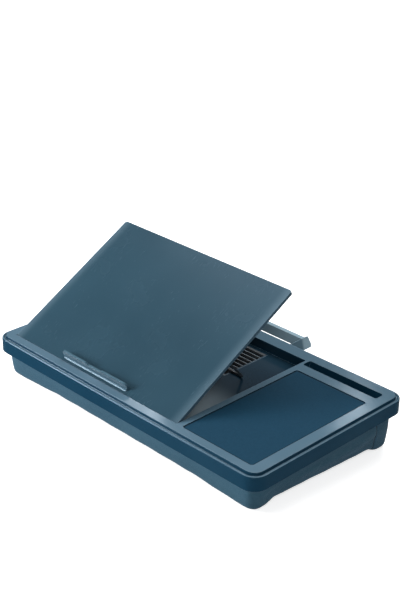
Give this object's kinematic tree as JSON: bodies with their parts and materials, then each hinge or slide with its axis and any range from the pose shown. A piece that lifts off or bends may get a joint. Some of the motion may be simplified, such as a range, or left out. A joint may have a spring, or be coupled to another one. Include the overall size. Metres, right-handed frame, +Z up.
{
  "type": "lap desk with lift lid",
  "caption": "Tray on a wedge cushion with a hinged notebook lid held up by a folding wire prop, a mouse pad, a phone slot and a carry handle.",
  "frame": {"origin": "centre of the footprint on the surface it rests on", "axes": "+X toward the mouse pad's side, +Y to the rear where the handle is, +Z up"},
  "size_m": [0.617, 0.4094, 0.2356],
  "materials": {
    "tray": "satin",
    "panel": "matte",
    "cushion": "matte",
    "pad": "matte",
    "grip": "matte",
    "rack": "satin",
    "lid": "satin",
    "handle": "satin",
    "wire": "satin",
    "clip": "matte",
    "screws": "satin"
  },
  "bodies": {
    "tray": {"tray_deck": "tray", "base_panel": "panel", "base_screws": "screws", "cushion": "cushion", "mouse_pad": "pad", "phone_slot_pad": "grip", "prop_rack_left": "rack", "prop_rack_right": "rack", "carry_handle": "handle", "handle_screws": "screws", "hinge_pin_left": "screws", "hinge_pin_right": "screws"},
    "platform": {"laptop_platform": "lid", "device_ledge": "lid", "ledge_screws": "screws", "platform_bumpers": "grip", "bail_clip_left": "clip", "bail_clip_right": "clip", "bail_clip_screws": "screws"},
    "prop": {"prop_bail": "wire"}
  },
  "joints": [
    {"name": "platform_tilt", "type": "hinge", "parent": "tray", "child": "platform", "pos_m": [-0.07995, -0.17813, 0.07259], "axis": [1, 0, 0], "range_deg": [-29.6, 0]},
    {"name": "prop_swing", "type": "hinge", "parent": "platform", "child": "prop", "pos_m": [-0.07995, -0.061, 0.14383], "axis": [1, 0, 0], "range_deg": [0, 75.62]}
  ],
  "couplings": [
    {"joint": "prop_swing", "follows": "platform_tilt", "ratio": -2.5546}
  ]
}
